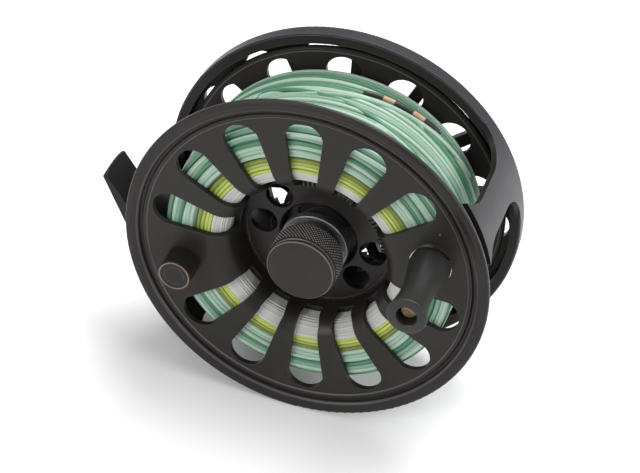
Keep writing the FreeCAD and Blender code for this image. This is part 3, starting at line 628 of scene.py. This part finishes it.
def make_knob():
    """The knurled release knob: turned face, groove, pyramid knurl, waisted neck and bored skirt."""
    radius, rows, angle = knurled_band(-0.75, 5.9, 9.9)
    count = angle.size
    top = [(0.0, -2.6), (4.0, -2.6), (8.95, -2.6), (9.15, -2.55), (9.55, -2.15), (9.6, -2.0), (9.6, -1.75),
           (9.5, -1.62), (9.05, -1.55), (9.0, -1.45), (9.0, -1.1), (9.1, -1.0), (9.45, -0.85)]
    low = [(9.4, 6.05), (9.0, 6.4), (8.3, 7.2), (8.0, 7.9), (7.9, 9.2), (4.8, 9.2), (4.8, 17.0),
           (3.3, 17.0), (3.3, 6.6), (0.0, 6.6)]

    def turned_rows(profile):
        return (np.repeat(np.array([p[0] for p in profile])[:, None], count, axis=1),
                np.array([p[1] for p in profile]))

    top_r, top_d = turned_rows(top)
    low_r, low_d = turned_rows(low)
    all_r = np.concatenate([top_r, radius, low_r]) * MM
    all_y = depth(np.concatenate([top_d, rows, low_d]))[:, None]
    piece = surface("knurled_knob", around(all_r, all_y, angle[None, :]), wrap_rows=False, flat_angle=28)
    # Painted glints on the knurl's tips and a painted highlight ring on the chamfer round the face.
    knurl_tip_glints = (AXIS_X, AXIS_Z, 0.00985, 0.0101, (0.26, 0.25, 0.24))
    face_edge_highlight = (AXIS_X, AXIS_Z, 0.00922, 0.00945, (0.13, 0.125, 0.12))
    give([piece.name], anodised("knob_black_finish", (0.019, 0.0165, 0.0155), 0.34, edge_amount=0.3,
                                edge_radius=0.00008, turning=(AXIS_X, AXIS_Z), specks=0.3,
                                bright=[knurl_tip_glints, face_edge_highlight]))
    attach(piece, "knob_body")
    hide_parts("release_knob")


def make_grip():
    """The hourglass grip: two parabolas that meet at the waist, with rounded ends and a screw well."""
    root, tip = 0.7, -21.9
    waist_at, waist, base, end = 0.60, 4.35, 5.98, 5.55
    t = np.linspace(0.045, 0.955, 40)
    radius = np.where(t < waist_at, waist + (base - waist) * (1 - t / waist_at) ** 1.75,
                      waist + (end - waist) * ((t - waist_at) / (1 - waist_at)) ** 1.7)
    body = [(r, root + (tip - root) * k) for r, k in zip(radius, t)]
    profile = [(1.85, root - 0.2), (2.9, root - 0.2), (2.9, root), (5.45, root), (5.75, root - 0.2)]
    profile += body
    profile += [(end - 0.02, tip + 0.55), (end - 0.12, tip + 0.2), (end - 0.42, tip), (3.1, tip),
                (2.85, tip + 0.2), (2.8, tip + 0.5), (2.8, tip + 4.0), (1.85, tip + 4.0)]
    piece = lathe("handle_grip_shell", profile, (HANDLE_X, HANDLE_Z), steps=96)
    give([piece.name], grip_plastic())
    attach(piece, "grip_body")
    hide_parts("handle_grip")


def make_hub_teeth():
    """A crown of fine teeth inside the spool's wall, behind the slots on the upper right: the depth of
    its front steps in and out with the angle there, and is a low plain ring on the hub plate elsewhere."""
    teeth, per_tooth = 100, 4
    steps = teeth * per_tooth
    angle = np.linspace(0, 2 * math.pi, steps, endpoint=False)
    present = bump_window(steps, TEETH_FROM, TEETH_TO, 2.0) > 0.5
    step = np.where((np.arange(steps) % per_tooth) < per_tooth / 2, 0.0, 0.8)
    front = np.where(present, 9.1 + step, 13.2)
    inner = np.where(present, 19.5, 20.6)
    wall = np.full(steps, 21.75)
    rows_r = np.stack([inner + 0.15, inner, inner, wall, wall, wall - 0.15]) * MM
    back = np.full(steps, 13.48)
    rows_y = depth(np.stack([front, front + 0.15, back, back, front + 0.15, front]))
    piece = surface("hub_tooth_ring", around(rows_r, rows_y, angle[None, :]), flat_angle=30)
    # The pale edge colour paints glints on the teeth's edges.
    give([piece.name], anodised("tooth_black", roughness=0.25, edge=(0.4, 0.39, 0.42), edge_amount=0.9,
                                edge_radius=0.00012))
    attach(piece, "spool_body")


def finish_cad_nodes():
    """Materials for the nodes whose CAD shape is the finished one."""
    rim = (AXIS_X, AXIS_Z)
    # Painted highlight rings on the lip's edge and on the bead's crest; the outer wall gets a painted sheen.
    lip_edge_highlight = (*rim, 0.0459, 0.0462, (0.075, 0.072, 0.072))
    bead_crest_highlight = (*rim, 0.0484, 0.0489, (0.055, 0.053, 0.056))
    give(["spool"], anodised("spool_black", outer=(*rim, RIM), bright=[lip_edge_highlight, bead_crest_highlight]))
    # Strong light edge colour: painted highlight lines along the frame's edges, with some polish wear; the
    # outer wall gets a painted sheen.
    give(["frame", "drag_housing", "housing_cover"], anodised(
        "frame_black", edge=(0.26, 0.25, 0.26), edge_amount=0.8, outer=(*rim, RIM)))
    give(["reel_foot"], anodised("foot_black", (0.0115, 0.0105, 0.0105), 0.42))
    give(["drag_knob"], anodised("drag_knob_black", turning=rim))
    give(["drag_hub", "drive_pins"], anodised("hub_black", (0.012, 0.011, 0.0105), 0.5))
    copper_ring = (WEIGHT_X, WEIGHT_Z, 0.00415, 0.00445, (0.20, 0.12, 0.08))
    give(["counterweight", "counterweight_screw"], anodised(
        "counterweight_black", (0.014, 0.0122, 0.0115), 0.36, edge=(0.42, 0.25, 0.16), edge_amount=0.6,
        edge_radius=0.00012, turning=(WEIGHT_X, WEIGHT_Z), bright=[copper_ring]))
    give(["knob_sleeve"], metal("sleeve_metal", (0.36, 0.35, 0.38), 0.42, tarnish=(0.10, 0.10, 0.11),
                                amount=0.3))
    give(["handle_washer"], metal("washer_metal", (0.80, 0.78, 0.74), 0.18, (HANDLE_X, HANDLE_Z)))
    give(["handle_post"], metal("post_steel", (0.55, 0.55, 0.56), 0.3, (HANDLE_X, HANDLE_Z)))
    give(["handle_screw"], metal("screw_brass", (0.26, 0.20, 0.12), 0.42, (HANDLE_X, HANDLE_Z),
                                 (0.03, 0.025, 0.02), 0.9))
    steel = metal("plain_steel", (0.58, 0.58, 0.60), 0.3)
    give(["spindle", "bearing_inner_rings", "bearing_outer_rings",
          "bearing_balls", "click_wheel", "click_pawl", "one_way_clutch", "brake_rotor",
          "spring_washers", "pressure_plate", "push_pins", "pawl_pin", "pawl_spring", "foot_screws",
          "housing_screws", "drag_knob_screw"], steel)
    give(["friction_discs"], anodised("friction_carbon", (0.015, 0.015, 0.017), 0.5))


make_camera()
make_stage()
make_line()
make_knob()
make_grip()
make_hub_teeth()
finish_cad_nodes()
